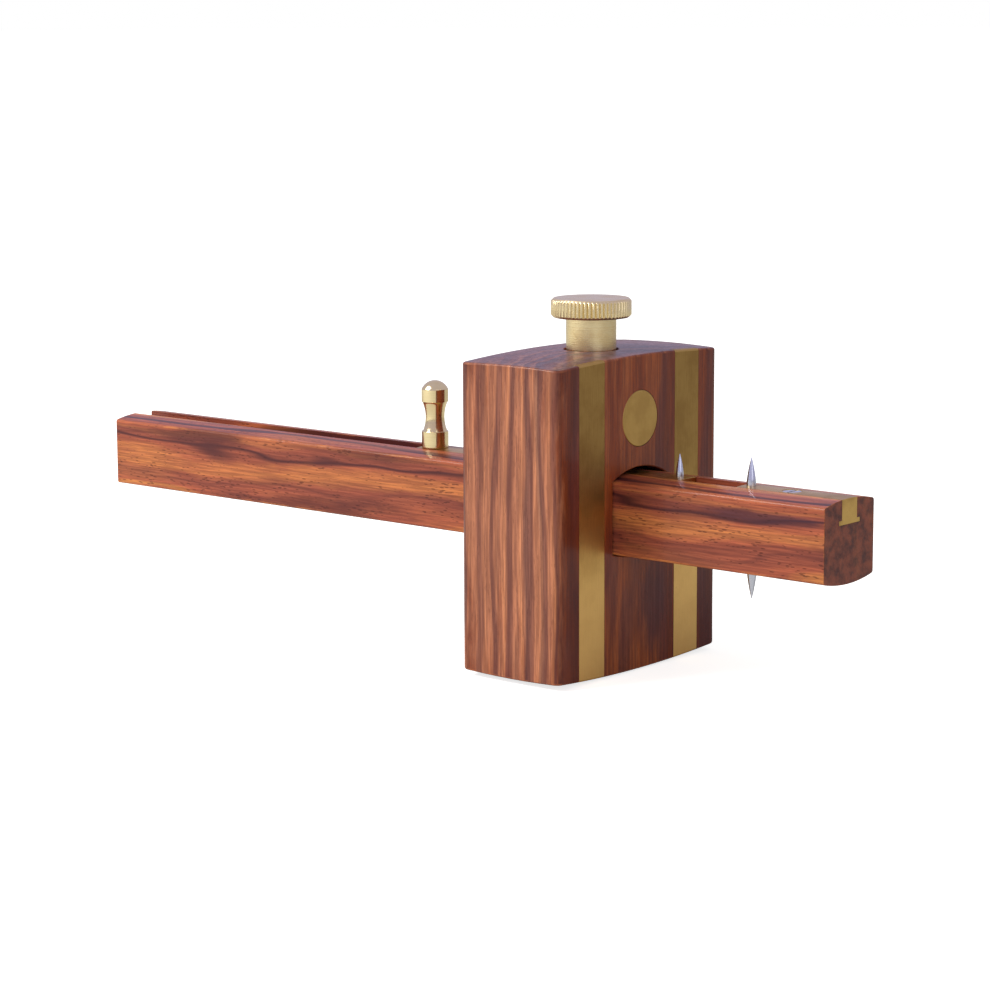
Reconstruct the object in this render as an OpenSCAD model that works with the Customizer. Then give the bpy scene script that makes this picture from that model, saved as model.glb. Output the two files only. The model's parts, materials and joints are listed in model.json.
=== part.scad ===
// Mortise gauge in rosewood and brass.
// +X runs along the stem towards the scribing pins, +Y to the far side, +Z up along the thumbscrew.
// X = 0 is the stem's mid-length, Y = 0 its axis, and Z = 0 the lowest point of the stock.

/* [Stock] */
// Thickness of the stock along the stem
stock_t = 29.5; // [24:0.5:36]
// Width of the stock across the stem
stock_w = 61.6; // [58:0.2:72]
// Height of the stock over its two crowns
stock_h = 76.3; // [74:0.1:90]
// Rise of each crown over the stock's width
crown_over_width = 1.15; // [0.6:0.05:2.4]
// Rise of each crown over the stock's thickness
crown_over_thickness = 0.4; // [0.2:0.05:1]
// Radius of the four upright edges
upright_edge_r = 1.8; // [1:0.1:3]
// Bevel along the edges of the crowned ends
stock_edge_break = 0.5; // [0.3:0.05:1]

/* [Stem] */
// Length of the stem
stem_l = 230; // [200:1:280]
// Width of the stem
stem_w = 20; // [18:0.1:22]
// Height of the stem's flat sides
stem_side_h = 17.2; // [16:0.1:19]
// Rise of the stem's top and bottom crowns
stem_crown = 1.25; // [0.8:0.05:1.8]
// Bevel along the stem's four long edges
stem_edge_break = 0.4; // [0.2:0.05:0.8]

/* [Opening in the stock] */
// Play between each side of the stem and the opening
opening_side_play = 0.35; // [0.2:0.05:0.6]
// Play between the stem's underside and the opening
opening_floor_play = 0.2; // [0.1:0.05:0.4]
// Height of the opening's arched roof above the stem's crest
opening_roof_gap = 1.4; // [1:0.1:2]

/* [Settings in the photograph] */
// Distance from the wear face to the moving pin
fence_set = 11.65; // [4:0.05:30]
// Distance between the moving pin and the fixed pin
pin_spacing = 20.4; // [8:0.1:40]

/* [Groove and slide] */
// Width of the groove's slot
slot_w = 6.1; // [5:0.1:7]
// Depth of the groove below the stem's crest
slot_depth = 6; // [5:0.1:7]
// Width of the undercut along the groove's floor
undercut_w = 8.4; // [7.8:0.1:9.6]
// Height of the undercut
undercut_h = 1.1; // [0.8:0.05:1.6]
// Play between the slide and the groove on every side
slide_play = 0.08; // [0.04:0.01:0.2]
// Brass left under a pin or stud that is seated in the slide or the end block
seat_web = 0.6; // [0.4:0.05:1]
// Distance from the knob's axis to the moving pin
knob_to_pin = 76.1; // [60:0.1:90]
// Length of the slide beyond the knob's axis
slide_tail = 3.7; // [3.5:0.1:8]
// Length of the slide beyond the moving pin
slide_nose = 2.5; // [1.6:0.1:5]

/* [End block] */
// Length of the end block
block_l = 29; // [28:0.5:34]
// Distance from the stem's end to the block's screw
block_screw_from_end = 15.5; // [10:0.5:19]

/* [Scribing pins] */
// Diameter of the fixed pin
fixed_pin_d = 2.2; // [1.8:0.1:2.6]
// Height of the fixed pin above the stem's crest
fixed_pin_reach = 6.5; // [4:0.1:9]
// Distance from the end block's inner end to the fixed pin
fixed_pin_inset = 2.2; // [1.8:0.1:5]
// Diameter of the moving pin
moving_pin_d = 1.8; // [1.4:0.1:2.4]
// Height of the moving pin above the stem's crest
moving_pin_reach = 5.4; // [4:0.1:8]
// Diameter of the marking pin under the stem
marking_pin_d = 2.2; // [1.8:0.1:2.6]
// Depth of the marking pin below the stem's underside
marking_pin_reach = 6.7; // [4:0.1:9]
// Distance from the stem's end to the marking pin
marking_pin_from_end = 26.4; // [20:0.1:40]
// Straight length of a pin before its point
pin_neck = 1; // [0.4:0.1:2]
// Swell of a pin's point over a straight cone
point_swell = 0.1; // [0.04:0.01:0.12]
// Diameter of the small flat at a pin's tip
pin_tip_d = 0.12; // [0.08:0.02:0.3]
// Depth of the marking pin's seat in the wood
marking_pin_seat = 8; // [5:0.5:10]

/* [Slide knob] */
// Diameter of the knob's collar and head
knob_d = 6.7; // [6:0.1:8]
// Height of the collar
knob_collar_h = 4.2; // [3:0.1:6]
// Width of the ledge between the collar and the waisted neck
knob_ledge = 0.3; // [0.1:0.05:0.5]
// Height of the waisted neck
knob_neck_h = 7.2; // [6:0.1:9]
// Diameter at the waist
knob_waist_d = 4.75; // [4:0.05:5.5]
// Height of the waist above the collar
knob_waist_up = 3.5; // [3:0.1:4]
// Height of the knob's straight head
knob_head_h = 3.2; // [2:0.1:5]
// Rise of the knob's domed end
knob_dome_h = 2.2; // [1:0.1:3]
// Diameter of the knob's threaded stud
knob_stud_d = 3; // [2.5:0.1:4]

/* [Wear strips] */
// Width of a brass wear strip
strip_w = 9.4; // [7:0.1:10]
// Thickness of a wear strip
strip_t = 1.6; // [1:0.1:3]
// Distance from the stock's side to a strip's outer edge
strip_inset = 7.8; // [5:0.1:9.5]

/* [Barrel nut] */
// Diameter of the barrel nut
nut_d = 13.4; // [12:0.1:15]
// Length of the barrel nut
nut_l = 22; // [20:0.5:23]
// Height of the nut's axis above the stem's axis
nut_up = 22.6; // [22:0.1:24]
// Bevel around the nut's visible end
nut_edge_break = 0.25; // [0.1:0.05:0.5]

/* [Thumbscrew] */
// Diameter of the knurled head over the knurls
head_d = 19.2; // [17:0.1:24]
// Height of the knurled head
head_h = 4.5; // [3.5:0.1:7]
// Height of the head's underside above the stock's crown
head_up = 7.5; // [4:0.1:12]
// Number of knurls around the head
knurls = 60; // [40:1:72]
// Depth of a knurl
knurl_depth = 0.35; // [0.2:0.05:0.45]
// Bevel at the head's two rims
head_edge_break = 0.6; // [0.5:0.05:1]
// Diameter of the plain shank
shank_d = 12; // [11:0.1:13]
// Length of the shank inside the stock
shank_in_stock = 5; // [3:0.1:5.5]
// Radial play around the screw and its shoe in the stock
passage_play = 0.65; // [0.4:0.05:1]
// Outside diameter of the screw's thread
thread_d = 8; // [6:0.5:8]
// Rise of the screw in one turn
thread_pitch = 1.25; // [0.8:0.05:1.5]
// Turns from clamped to fully open
release_turns = 1.5; // [1:0.1:1.6]

/* [Clamp shoe] */
// Diameter of the shoe
shoe_d = 9.6; // [9:0.1:10.4]
// Thickness of the shoe
shoe_t = 2.2; // [2:0.05:2.4]
// Diameter of the spigot that carries the shoe
spigot_d = 4; // [3:0.1:4.4]
// Diameter of the spigot's riveted end
rivet_d = 5.6; // [5:0.1:6]
// Thickness of the spigot's riveted end
rivet_t = 0.6; // [0.4:0.05:0.7]

/* [Block screw] */
// Diameter of the countersunk head
screw_head_d = 4.6; // [4:0.1:5]
// Diameter of the screw's core
screw_d = 2.2; // [1.8:0.1:2.4]
// Depth of the screw's head below the block's crest
screw_head_sink = 0.25; // [0.15:0.05:0.5]
// Length of the screw
screw_l = 11; // [9:0.5:13]
// Width of the driver slot
screw_slot_w = 0.6; // [0.4:0.05:0.8]
// Depth of the driver slot
screw_slot_depth = 0.6; // [0.4:0.05:0.7]

/* [Fits] */
// Play around a piece that is pressed, screwed or glued in place
seat_play = 0.02; // [0.01:0.01:0.04]
// Play around a piece that turns or slides in a hole
running_play = 0.05; // [0.02:0.01:0.1]
// Gap between the shoe and the slide that it bears on
shoe_gap = 0.05; // [0.02:0.01:0.1]

/* [Hidden] */

// Over any cut or blank by this much, so that it passes clean through
past = 1;
// Points along a full circle
$fn = 96;

rosewood = [0.50, 0.24, 0.15];
brass = [0.72, 0.60, 0.34];
steel = [0.78, 0.79, 0.82];

// Radius of the arc that rises by rise over the half chord
function arc_r(half, rise) = (half * half + rise * rise) / (2 * rise);

// Heights, measured from the stem's axis
axis_z = stock_h / 2;
stem_crest = stem_side_h / 2 + stem_crown;
groove_floor = stem_crest - slot_depth;
roof = stem_crest + opening_roof_gap;
stock_crown = stock_h / 2;
shoe_foot = stem_crest + shoe_gap;
shoe_top = shoe_foot + shoe_t;
rivet_foot = shoe_foot + 2 * running_play;
screw_travel = release_turns * thread_pitch;
pocket_top = shoe_top + screw_travel + 2 * running_play;
shank_foot = stock_crown - shank_in_stock;
shank_hole_floor = shank_foot - 2 * thread_pitch;
brass_seat = slot_depth - seat_web;
screw_head_top = stem_crest - screw_head_sink;
screw_foot = screw_head_top - screw_l;

// Places along the stem
stem_end = stem_l / 2;
block_x = stem_end - block_l;
block_screw_x = stem_end - block_screw_from_end;
fixed_pin_x = block_x + fixed_pin_inset;
marking_pin_x = stem_end - marking_pin_from_end;
moving_pin_x = fixed_pin_x - pin_spacing;
knob_x = moving_pin_x - knob_to_pin;
wear_face_x = moving_pin_x - fence_set;
stock_x = wear_face_x - stock_t / 2;

// Distance from the wear face's middle to a strip's middle
strip_y = stock_w / 2 - strip_inset - strip_w / 2;

// The stock's crowned blank
width_crown_r = arc_r(stock_w / 2, crown_over_width);
thickness_crown_r = arc_r(stock_t / 2, crown_over_thickness);

// An outline in the YZ plane, drawn from the stem's axis and run along X from x0 to x1
module along_x(x0, x1) {
    translate([x0, 0, axis_z]) rotate([90, 0, 90]) linear_extrude(x1 - x0) children();
}

// Upright pieces are drawn from the stem's axis at their own place along it
module at_x(x, up = 0) {
    translate([x, 0, axis_z + up]) children();
}

// A tall outline with its four corners bevelled at 45 degrees; the bevels run on past the crowns
module bevelled_sides(half_w, half_h, bevel, rise) {
    low = half_h - bevel;
    in = half_w - bevel - rise;
    top = half_h + rise;
    polygon([
        [half_w, -low], [half_w, low], [in, top], [-in, top],
        [-half_w, low], [-half_w, -low], [-in, -top], [in, -top]
    ]);
}

// Flat sides between two crowns
module stem_outline() {
    r = arc_r(stem_w / 2, stem_crown);
    intersection() {
        bevelled_sides(stem_w / 2, stem_side_h / 2, stem_edge_break, stem_crown + past);
        translate([0, stem_crest - r]) circle(r, $fn = 360);
        translate([0, r - stem_crest]) circle(r, $fn = 360);
    }
}

// The inverted T of the groove, with play taken off every side that slides
module groove_outline(play = 0) {
    slot = slot_w / 2 - play;
    flange = undercut_w / 2 - play;
    translate([-slot, groove_floor + play]) square([2 * slot, slot_depth + past]);
    translate([-flange, groove_floor + play]) square([2 * flange, undercut_h - 2 * play]);
}

// The opening follows the stem's sides and underside, and has an arched roof
module opening_outline() {
    half = stem_w / 2 + opening_side_play;
    side = stem_side_h / 2;
    roof_r = arc_r(half, roof - side);
    floor_r = arc_r(stem_w / 2, stem_crown) + opening_floor_play;
    floor_z = -stem_crest - opening_floor_play;
    intersection() {
        translate([-half, floor_z - past]) square([2 * half, roof - floor_z + 2 * past]);
        translate([0, roof - roof_r]) circle(roof_r, $fn = 360);
        translate([0, floor_z + floor_r]) circle(floor_r, $fn = 360);
    }
}

// One crowned end of the stock: an arc over the thickness swung about a low axis over the width
module crown_swing() {
    inner = width_crown_r - stock_h - past;
    side = width_crown_r - crown_over_thickness - stock_edge_break;
    top = width_crown_r + past;
    in = stock_t / 2 - (top - side);
    rotate([0, 90, 0]) rotate_extrude($fn = 360) intersection() {
        polygon([
            [inner, -stock_t / 2], [side, -stock_t / 2], [top, -in],
            [top, in], [side, stock_t / 2], [inner, stock_t / 2]
        ]);
        translate([width_crown_r - thickness_crown_r, 0]) circle(thickness_crown_r, $fn = 360);
    }
}

// The stock before anything is cut from it
module stock_blank() {
    at_x(stock_x) intersection() {
        translate([0, 0, -stock_crown - past]) linear_extrude(stock_h + 2 * past) rounded_plan();
        rotate([90, 0, 90]) translate([0, 0, -stock_t / 2 - past]) linear_extrude(stock_t + 2 * past)
            bevelled_sides(stock_w / 2, stock_crown - crown_over_width - crown_over_thickness / 2,
                           stock_edge_break, crown_over_width + past);
        translate([0, 0, stock_crown - width_crown_r]) crown_swing();
        translate([0, 0, width_crown_r - stock_crown]) mirror([0, 0, 1]) crown_swing();
    }
}

// The stock seen from above: a rectangle with round corners
module rounded_plan() {
    dx = stock_t / 2 - upright_edge_r;
    dy = stock_w / 2 - upright_edge_r;
    square([2 * dx, stock_w], center = true);
    square([stock_t, 2 * dy], center = true);
    for (sx = [-1, 1], sy = [-1, 1])
        translate([sx * dx, sy * dy]) circle(upright_edge_r);
}

// The strip's bed in the wear face, side -1 near and +1 far
module strip_bed(side, face_past = 0) {
    translate([wear_face_x - strip_t, side * strip_y - strip_w / 2, -past])
        cube([strip_t + face_past, strip_w, stock_h + 2 * past]);
}

// The hole through the stock for the screw, from the crown down to the pocket for the shoe
module screw_passage() {
    at_x(stock_x, shank_hole_floor)
        cylinder(d = shank_d + 2 * passage_play, h = stock_crown - shank_hole_floor + past);
    at_x(stock_x, stem_crest)
        cylinder(d = thread_d + 2 * passage_play, h = shank_hole_floor - stem_crest + past);
    at_x(stock_x, stem_crest)
        cylinder(d = shoe_d + 2 * passage_play, h = pocket_top - stem_crest);
}

module stock() {
    color(rosewood) difference() {
        stock_blank();
        along_x(stock_x - stock_t / 2 - past, wear_face_x + past) opening_outline();
        strip_bed(-1, past);
        strip_bed(1, past);
        nut_blank(seat_play, past);
        screw_passage();
    }
}

module wear_strip(side) {
    color(brass) intersection() {
        stock_blank();
        strip_bed(side, past);
    }
}

// The nut's body, with play around it and beyond its visible end
module nut_blank(play = 0, face_past = 0) {
    translate([wear_face_x - nut_l - play, 0, axis_z + nut_up]) rotate([0, 90, 0])
        cylinder(d = nut_d + 2 * play, h = nut_l + play + face_past);
}

module barrel_nut() {
    color(brass) difference() {
        translate([wear_face_x - nut_l, 0, axis_z + nut_up]) rotate([0, 90, 0]) rotate_extrude()
            polygon([
                [0, 0], [nut_d / 2, 0], [nut_d / 2, nut_l - nut_edge_break],
                [nut_d / 2 - nut_edge_break, nut_l], [0, nut_l]
            ]);
        at_x(stock_x, nut_up - nut_d / 2 - past)
            cylinder(d = thread_d + 2 * running_play, h = nut_d + 2 * past);
    }
}

// Straight V knurls cut all around the head
module knurled_outline() {
    r = head_d / 2;
    polygon([for (i = [0 : 2 * knurls - 1])
        let (a = i * 180 / knurls, rr = i % 2 == 0 ? r : r - knurl_depth) [rr * cos(a), rr * sin(a)]]);
}

module thumbscrew() {
    head_foot = stock_crown + head_up;
    rim_r = head_d / 2 - head_edge_break;
    color(brass) at_x(stock_x) {
        translate([0, 0, head_foot]) intersection() {
            linear_extrude(head_h) knurled_outline();
            rotate_extrude() polygon([
                [0, 0], [rim_r, 0], [rim_r + head_h / 2, head_h / 2], [rim_r, head_h], [0, head_h]
            ]);
        }
        translate([0, 0, shank_foot]) cylinder(d = shank_d, h = head_foot - shank_foot);
        translate([0, 0, shoe_top]) cylinder(d = thread_d, h = shank_foot - shoe_top);
        translate([0, 0, rivet_foot]) cylinder(d = spigot_d, h = shoe_top - rivet_foot);
        translate([0, 0, rivet_foot]) cylinder(d = rivet_d, h = rivet_t);
    }
}

// The riveted end of the screw's spigot sits in the shoe's counterbore
module clamp_shoe() {
    color(brass) at_x(stock_x, shoe_foot) difference() {
        cylinder(d = shoe_d, h = shoe_t - running_play);
        translate([0, 0, -past]) cylinder(d = spigot_d + 2 * running_play, h = shoe_t + 2 * past);
        translate([0, 0, -past]) cylinder(d = rivet_d + 2 * running_play,
                                          h = past + rivet_t + 3 * running_play);
    }
}

// The round seat of an upright pin or stud, between two heights
module pin_hole(x, d, from, to) {
    at_x(x, from) cylinder(d = d + 2 * seat_play, h = to - from);
}

module stem() {
    color(rosewood) difference() {
        along_x(-stem_end, stem_end) difference() {
            stem_outline();
            groove_outline();
        }
        pin_hole(marking_pin_x, marking_pin_d, -stem_crest - past, marking_pin_seat - stem_crest);
        at_x(block_screw_x, screw_foot) cylinder(d = screw_d + 2 * seat_play,
                                                 h = groove_floor - screw_foot + past);
    }
}

// The end block fills the groove and is dressed flush with the stem
module end_block() {
    color(brass) difference() {
        along_x(block_x, stem_end) intersection() {
            stem_outline();
            groove_outline();
        }
        pin_hole(fixed_pin_x, fixed_pin_d, stem_crest - brass_seat, stem_crest + past);
        at_x(block_screw_x) screw_blank(seat_play, past);
    }
}

// A countersunk screw on the Z axis, with play around it and room above its head
module screw_blank(play = 0, above = 0) {
    head = screw_head_d / 2 + play;
    core = screw_d / 2 + play;
    rotate_extrude() polygon([
        [0, screw_foot - play], [core, screw_foot - play], [core, screw_head_top - (head - core)],
        [head, screw_head_top], [head, screw_head_top + above], [0, screw_head_top + above]
    ]);
}

module end_block_screw() {
    color(steel) at_x(block_screw_x) difference() {
        screw_blank();
        translate([-screw_slot_w / 2, -screw_head_d, screw_head_top - screw_slot_depth])
            cube([screw_slot_w, 2 * screw_head_d, screw_slot_depth + past]);
    }
}

// A scribing pin standing on Z = 0, with its seat below and its point above
module scribing_pin(d, reach, seat) {
    r = d / 2;
    tip_r = pin_tip_d / 2;
    length = reach - pin_neck;
    drop = r - tip_r;
    chord = norm([drop, length]);
    swell_r = arc_r(chord / 2, point_swell);
    back = swell_r - point_swell;
    rotate_extrude() {
        translate([0, -seat]) square([r, seat + pin_neck]);
        translate([0, pin_neck]) intersection() {
            square([r, length]);
            translate([(r + tip_r) / 2 - back * length / chord, length / 2 - back * drop / chord])
                circle(swell_r, $fn = 360);
        }
    }
}

module fixed_pin() {
    color(steel) at_x(fixed_pin_x, stem_crest) scribing_pin(fixed_pin_d, fixed_pin_reach, brass_seat);
}

module moving_pin() {
    color(steel) at_x(moving_pin_x, stem_crest) scribing_pin(moving_pin_d, moving_pin_reach, brass_seat);
}

module marking_pin() {
    color(steel) at_x(marking_pin_x, -stem_crest) mirror([0, 0, 1])
        scribing_pin(marking_pin_d, marking_pin_reach, marking_pin_seat);
}

// The slide runs in the groove, and its top is dressed flush with the stem
module pin_slide() {
    color(brass) difference() {
        along_x(knob_x - slide_tail, moving_pin_x + slide_nose) intersection() {
            stem_outline();
            groove_outline(slide_play);
        }
        pin_hole(moving_pin_x, moving_pin_d, stem_crest - brass_seat, stem_crest + past);
        pin_hole(knob_x, knob_stud_d, stem_crest - brass_seat, stem_crest + past);
    }
}

// The knob's half outline: stud, collar, waisted neck, head and dome
module knob_outline() {
    r = knob_d / 2;
    waist = knob_waist_d / 2;
    foot = r - knob_ledge;
    neck_r = arc_r(knob_waist_up, foot - waist);
    head_z = knob_collar_h + knob_neck_h;
    dome_r = arc_r(r, knob_dome_h);
    translate([0, -brass_seat]) square([knob_stud_d / 2, brass_seat + past]);
    square([r, knob_collar_h]);
    difference() {
        translate([0, knob_collar_h - past]) square([foot, knob_neck_h + 2 * past]);
        translate([waist + neck_r, knob_collar_h + knob_waist_up]) circle(neck_r, $fn = 360);
    }
    translate([0, head_z]) square([r, knob_head_h]);
    translate([0, head_z + knob_head_h]) intersection() {
        square([r, knob_dome_h]);
        translate([0, knob_dome_h - dome_r]) circle(dome_r);
    }
}

module slide_knob() {
    color(brass) at_x(knob_x, stem_crest) rotate_extrude() knob_outline();
}

stock();
wear_strip(-1);  // wear_strip_front
wear_strip(1);  // wear_strip_back
barrel_nut();
thumbscrew();
clamp_shoe();
stem();
end_block();
end_block_screw();
fixed_pin();
pin_slide();
moving_pin();
slide_knob();
marking_pin();
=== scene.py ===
import json
import math

import bmesh
import bpy
from bpy.props import FloatProperty, FloatVectorProperty, IntProperty, PointerProperty
from mathutils import Matrix, Vector


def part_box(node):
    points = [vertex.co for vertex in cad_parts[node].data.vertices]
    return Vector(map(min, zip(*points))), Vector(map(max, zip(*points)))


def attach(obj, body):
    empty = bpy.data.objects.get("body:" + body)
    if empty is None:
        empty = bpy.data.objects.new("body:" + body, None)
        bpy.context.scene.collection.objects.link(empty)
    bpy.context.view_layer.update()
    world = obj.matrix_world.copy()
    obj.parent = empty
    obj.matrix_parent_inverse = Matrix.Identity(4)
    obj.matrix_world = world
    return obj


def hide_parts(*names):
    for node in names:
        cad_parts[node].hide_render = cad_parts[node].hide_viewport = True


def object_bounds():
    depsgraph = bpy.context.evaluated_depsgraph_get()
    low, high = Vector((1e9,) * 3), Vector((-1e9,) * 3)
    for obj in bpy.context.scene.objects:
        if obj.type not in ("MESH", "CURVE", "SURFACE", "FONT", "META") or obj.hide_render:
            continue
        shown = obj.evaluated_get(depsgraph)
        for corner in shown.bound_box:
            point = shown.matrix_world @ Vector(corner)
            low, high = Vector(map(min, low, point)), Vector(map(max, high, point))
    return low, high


bl_info = {
    "name": "Mortise Gauge",
    "version": (1, 0, 0),
    "blender": (4, 5, 0),
    "location": "3D View > Sidebar > Gauge",
    "description": "Dresses a mortise gauge in rosewood, brass and steel, and sets up its studio",
    "category": "Object",
}

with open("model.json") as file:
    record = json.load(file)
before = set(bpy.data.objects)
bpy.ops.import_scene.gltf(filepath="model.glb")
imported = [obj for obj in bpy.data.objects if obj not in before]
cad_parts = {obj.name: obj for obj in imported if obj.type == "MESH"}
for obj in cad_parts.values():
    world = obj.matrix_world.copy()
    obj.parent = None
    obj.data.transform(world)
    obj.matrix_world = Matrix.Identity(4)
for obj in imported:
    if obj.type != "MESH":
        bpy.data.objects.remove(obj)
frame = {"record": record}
cad_box = [list(corner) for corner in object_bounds()]

MM = 0.001
X, Y, Z = range(3)
# Metres from the middle of the floor to its edges
FLOOR_REACH = 30
# Width in millimetres of the camera's frame
FRAME_WIDTH = 36
# Steps round a turned piece, round a pin and round the polished knob
TURN_STEPS = 96
PIN_STEPS = 48
KNOB_STEPS = 128
# Points along a crown from edge to edge, and from the groove to an edge
CROWN_POINTS = 25
HALF_CROWN_POINTS = 10
# Points over the stock's thickness, and over the groove's width
THICKNESS_POINTS = 7
SLOT_POINTS = 7
# Rings along a pin's point and over the knob's dome
POINT_RINGS = 9
DOME_RINGS = 15
# Steps round one knurl, and half the width of its cut as a share of its pitch
KNURL_STEPS = 6
KNURL_CUT = 0.34
# Heights of the rings up the bevel of the knurled head, as shares of the bevel
BEVEL_RINGS = (0, 5 / 12, 0.6, 0.8, 1)
# Vertices closer than this are one
WELD = 1e-7
# A cutter runs on past what it cuts by this much
PAST = 1 * MM
# Two faces that meet at more than this angle keep a crisp edge
CRISP_ANGLE = math.radians(38)
# A face narrower than this, as area over outline, is an edge break
ARRIS_WIDTH = 0.14 * MM
# Radial play of a piece that turns, of one that is pressed in and of the block screw's head
RUNNING_PLAY = 0.05 * MM
SEAT_PLAY = 0.02 * MM
SINK_PLAY = 0.03 * MM
# Room under the thumbscrew's shank and above the clamp shoe, for the screw to move
LIFT_ROOM = 2.5 * MM
POCKET_ROOM = 2.1 * MM
# Height of the riveted end of the thumbscrew, and depth of the pocket that it turns in
RIVET_HEIGHT = 0.6 * MM
RIVET_POCKET = 0.75 * MM
# Edge breaks of the thumbscrew's shank, the clamp shoe, the block screw and its countersink
SHANK_BREAK = 0.2 * MM
SHOE_RIM = 0.15 * MM
SCREW_RIM = 0.1 * MM
SINK_BREAK = 0.12 * MM
# A rounded corner takes at most this share of each of its sides
CORNER_SHARE = 0.45
# A bar's crowned top lies no further below the stem's crest than this
CROWN_DEPTH = 0.5 * MM
# Share of the knob's break that stands below its dome
DOME_STEP = 0.4
# Millimetres that the grain drifts from side to side, and how ragged a streak's outline is
GRAIN_DRIFT = 9
STREAK_EDGE = 1.6
# Spacing of the growth lines in ring widths, and how far the bands shift them
LINE_SPACING = 1.25
LINE_SHIFT = 1.4
# Depth of the relief of pores, of tool marks in brass and of grinding marks in steel
PORE_DEPTH = 0.05 * MM
TOOL_DEPTH = 0.012 * MM
GRIND_DEPTH = 0.01 * MM


def box(node):
    """The lowest and highest corner of a piece of the frame."""
    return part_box(node)


def middle(node):
    """The centre of a piece of the frame."""
    low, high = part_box(node)
    return (low + high) / 2


def under(node):
    """The point at height 0 that a turned piece stands over."""
    centre = middle(node)
    return Vector((centre.x, centre.y, 0))


def half_of(node, axis=X):
    """Half the size of a piece of the frame along an axis, the radius of a turned one."""
    low, high = box(node)
    return (high[axis] - low[axis]) / 2


def darker(shade, share):
    """A colour with this share of its light."""
    return [c * share for c in shade]


def linear(red, green, blue):
    """A colour picked on a screen, from 0 to 255, as linear light."""
    shares = [value / 255 for value in (red, green, blue)]
    return [s / 12.92 if s <= 0.04045 else ((s + 0.055) / 1.055) ** 2.4 for s in shares]


def number(name, description, value, **settings):
    """A number that a user may change, not below 0."""
    return FloatProperty(name=name, description=description, default=value, min=0, **settings)


def length(name, description, mm):
    """A length that a user may change, given in millimetres."""
    return number(name, description, mm * MM, unit="LENGTH", precision=5)


def strength(name, description, value):
    """A plain share that a user may change."""
    return number(name, description, value, subtype="FACTOR", soft_max=1)


def angle(name, description, degrees):
    """An angle that a user may change, given in degrees."""
    return FloatProperty(name=name, description=description, default=math.radians(degrees),
                         subtype="ANGLE")


def colour(name, description, *rgb):
    """A colour that a user may change."""
    return FloatVectorProperty(name=name, description=description, default=linear(*rgb), size=3,
                               min=0, max=1, subtype="COLOR")


class GaugeSizes(bpy.types.PropertyGroup):
    """Sizes of the finish that the frame doesn't give."""
    stock_corner: length("Stock corners", "Radius of the stock's four upright edges", 1.8)
    stock_arris: length("Stock edges", "Break along the edges of the stock's two crowned ends", 0.5)
    width_rise: length("Crown over width", "Rise of the stock's crown over its width", 1.15)
    thickness_rise: length("Crown over thickness", "Rise of the stock's crown over its thickness", 0.4)
    opening_play: length("Opening play", "Play between the stem's sides and the opening", 0.35)
    opening_foot: length("Opening floor play", "Play between the stem's underside and the opening", 0.2)
    opening_roof: length("Opening roof gap", "Height of the opening's roof above the stem's crest", 1.4)
    opening_break: length("Opening break", "Break round the mouths of the opening and the screw hole", 0.22)
    seam: length("Inlay seam", "Width of the fine line between inlaid brass and wood", 0.05)
    stem_side: length("Stem side height", "Height of the stem's flat sides", 17.2)
    stem_arris: length("Stem edges", "Break along the stem's four long edges", 0.5)
    stem_end_break: length("Stem end break", "Break round the stem's two ends", 0.35)
    lip_break: length("Groove lips", "Break along the two lips of the groove", 0.12)
    slot: length("Groove width", "Width of the groove at the stem's crest", 6.1)
    undercut_height: length("Undercut height", "Height of the undercut along the groove's floor", 1.1)
    slide_play: length("Slide play", "Play between the slide and the groove", 0.08)
    bar_break: length("Brass bar break", "Break at the ends of the slide and end block", 0.12)
    pin_neck: length("Pin neck", "Straight length of a pin before its point", 1)
    point_swell: length("Point swell", "Swell of a pin's point over a straight cone", 0.1)
    tip: length("Pin tip", "Diameter of the small flat at a pin's tip", 0.12)
    nut_break: length("Nut break", "Bevel round the barrel nut's visible end", 0.22)
    knob_collar: length("Knob collar", "Height of the knob's collar", 4.2)
    knob_neck: length("Knob neck", "Height of the knob's waisted neck", 7.2)
    knob_waist: length("Knob waist", "Diameter of the knob at its waist", 4.75)
    knob_waist_up: length("Waist height", "Height of the waist above the collar", 3.5)
    knob_ledge: length("Knob ledge", "Width of the ledge between the collar and the neck", 0.3)
    knob_dome: length("Knob dome", "Rise of the knob's domed end", 2.2)
    knob_break: length("Knob break", "Break round the knob's turned edges", 0.22)
    head_height: length("Head height", "Height of the thumbscrew's knurled head", 4.5)
    head_bevel: length("Head bevel", "Bevel at the knurled head's two rims", 0.6)
    knurl_depth: length("Knurl depth", "Depth of one knurl", 0.35)
    knurls: IntProperty(name="Knurls", description="Number of knurls round the head", default=60, min=12)
    shank: length("Shank", "Diameter of the thumbscrew's plain shank", 12)
    spigot: length("Spigot", "Diameter of the spigot that carries the clamp shoe", 4)
    rivet: length("Rivet", "Diameter of the riveted end of the spigot", 5.6)
    shank_in_stock: length("Shank in the stock", "Length of the shank inside the stock", 5)
    passage_play: length("Passage play", "Radial play round the screw in the stock", 0.65)
    thread: length("Thread", "Outside diameter of the thumbscrew's thread", 8)
    screw_sink: length("Block screw sink", "Depth of the block screw's head below the crest", 0.25)
    screw_head: length("Block screw head", "Diameter of the block screw's head", 4.6)
    screw_core: length("Block screw shank", "Diameter of the block screw's shank", 2.2)
    screw_slot: length("Screwdriver slot", "Width and depth of the slot in the screw's head", 0.6)
    stud: length("Knob stud", "Diameter of the stud that holds the knob in the slide", 3)


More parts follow.
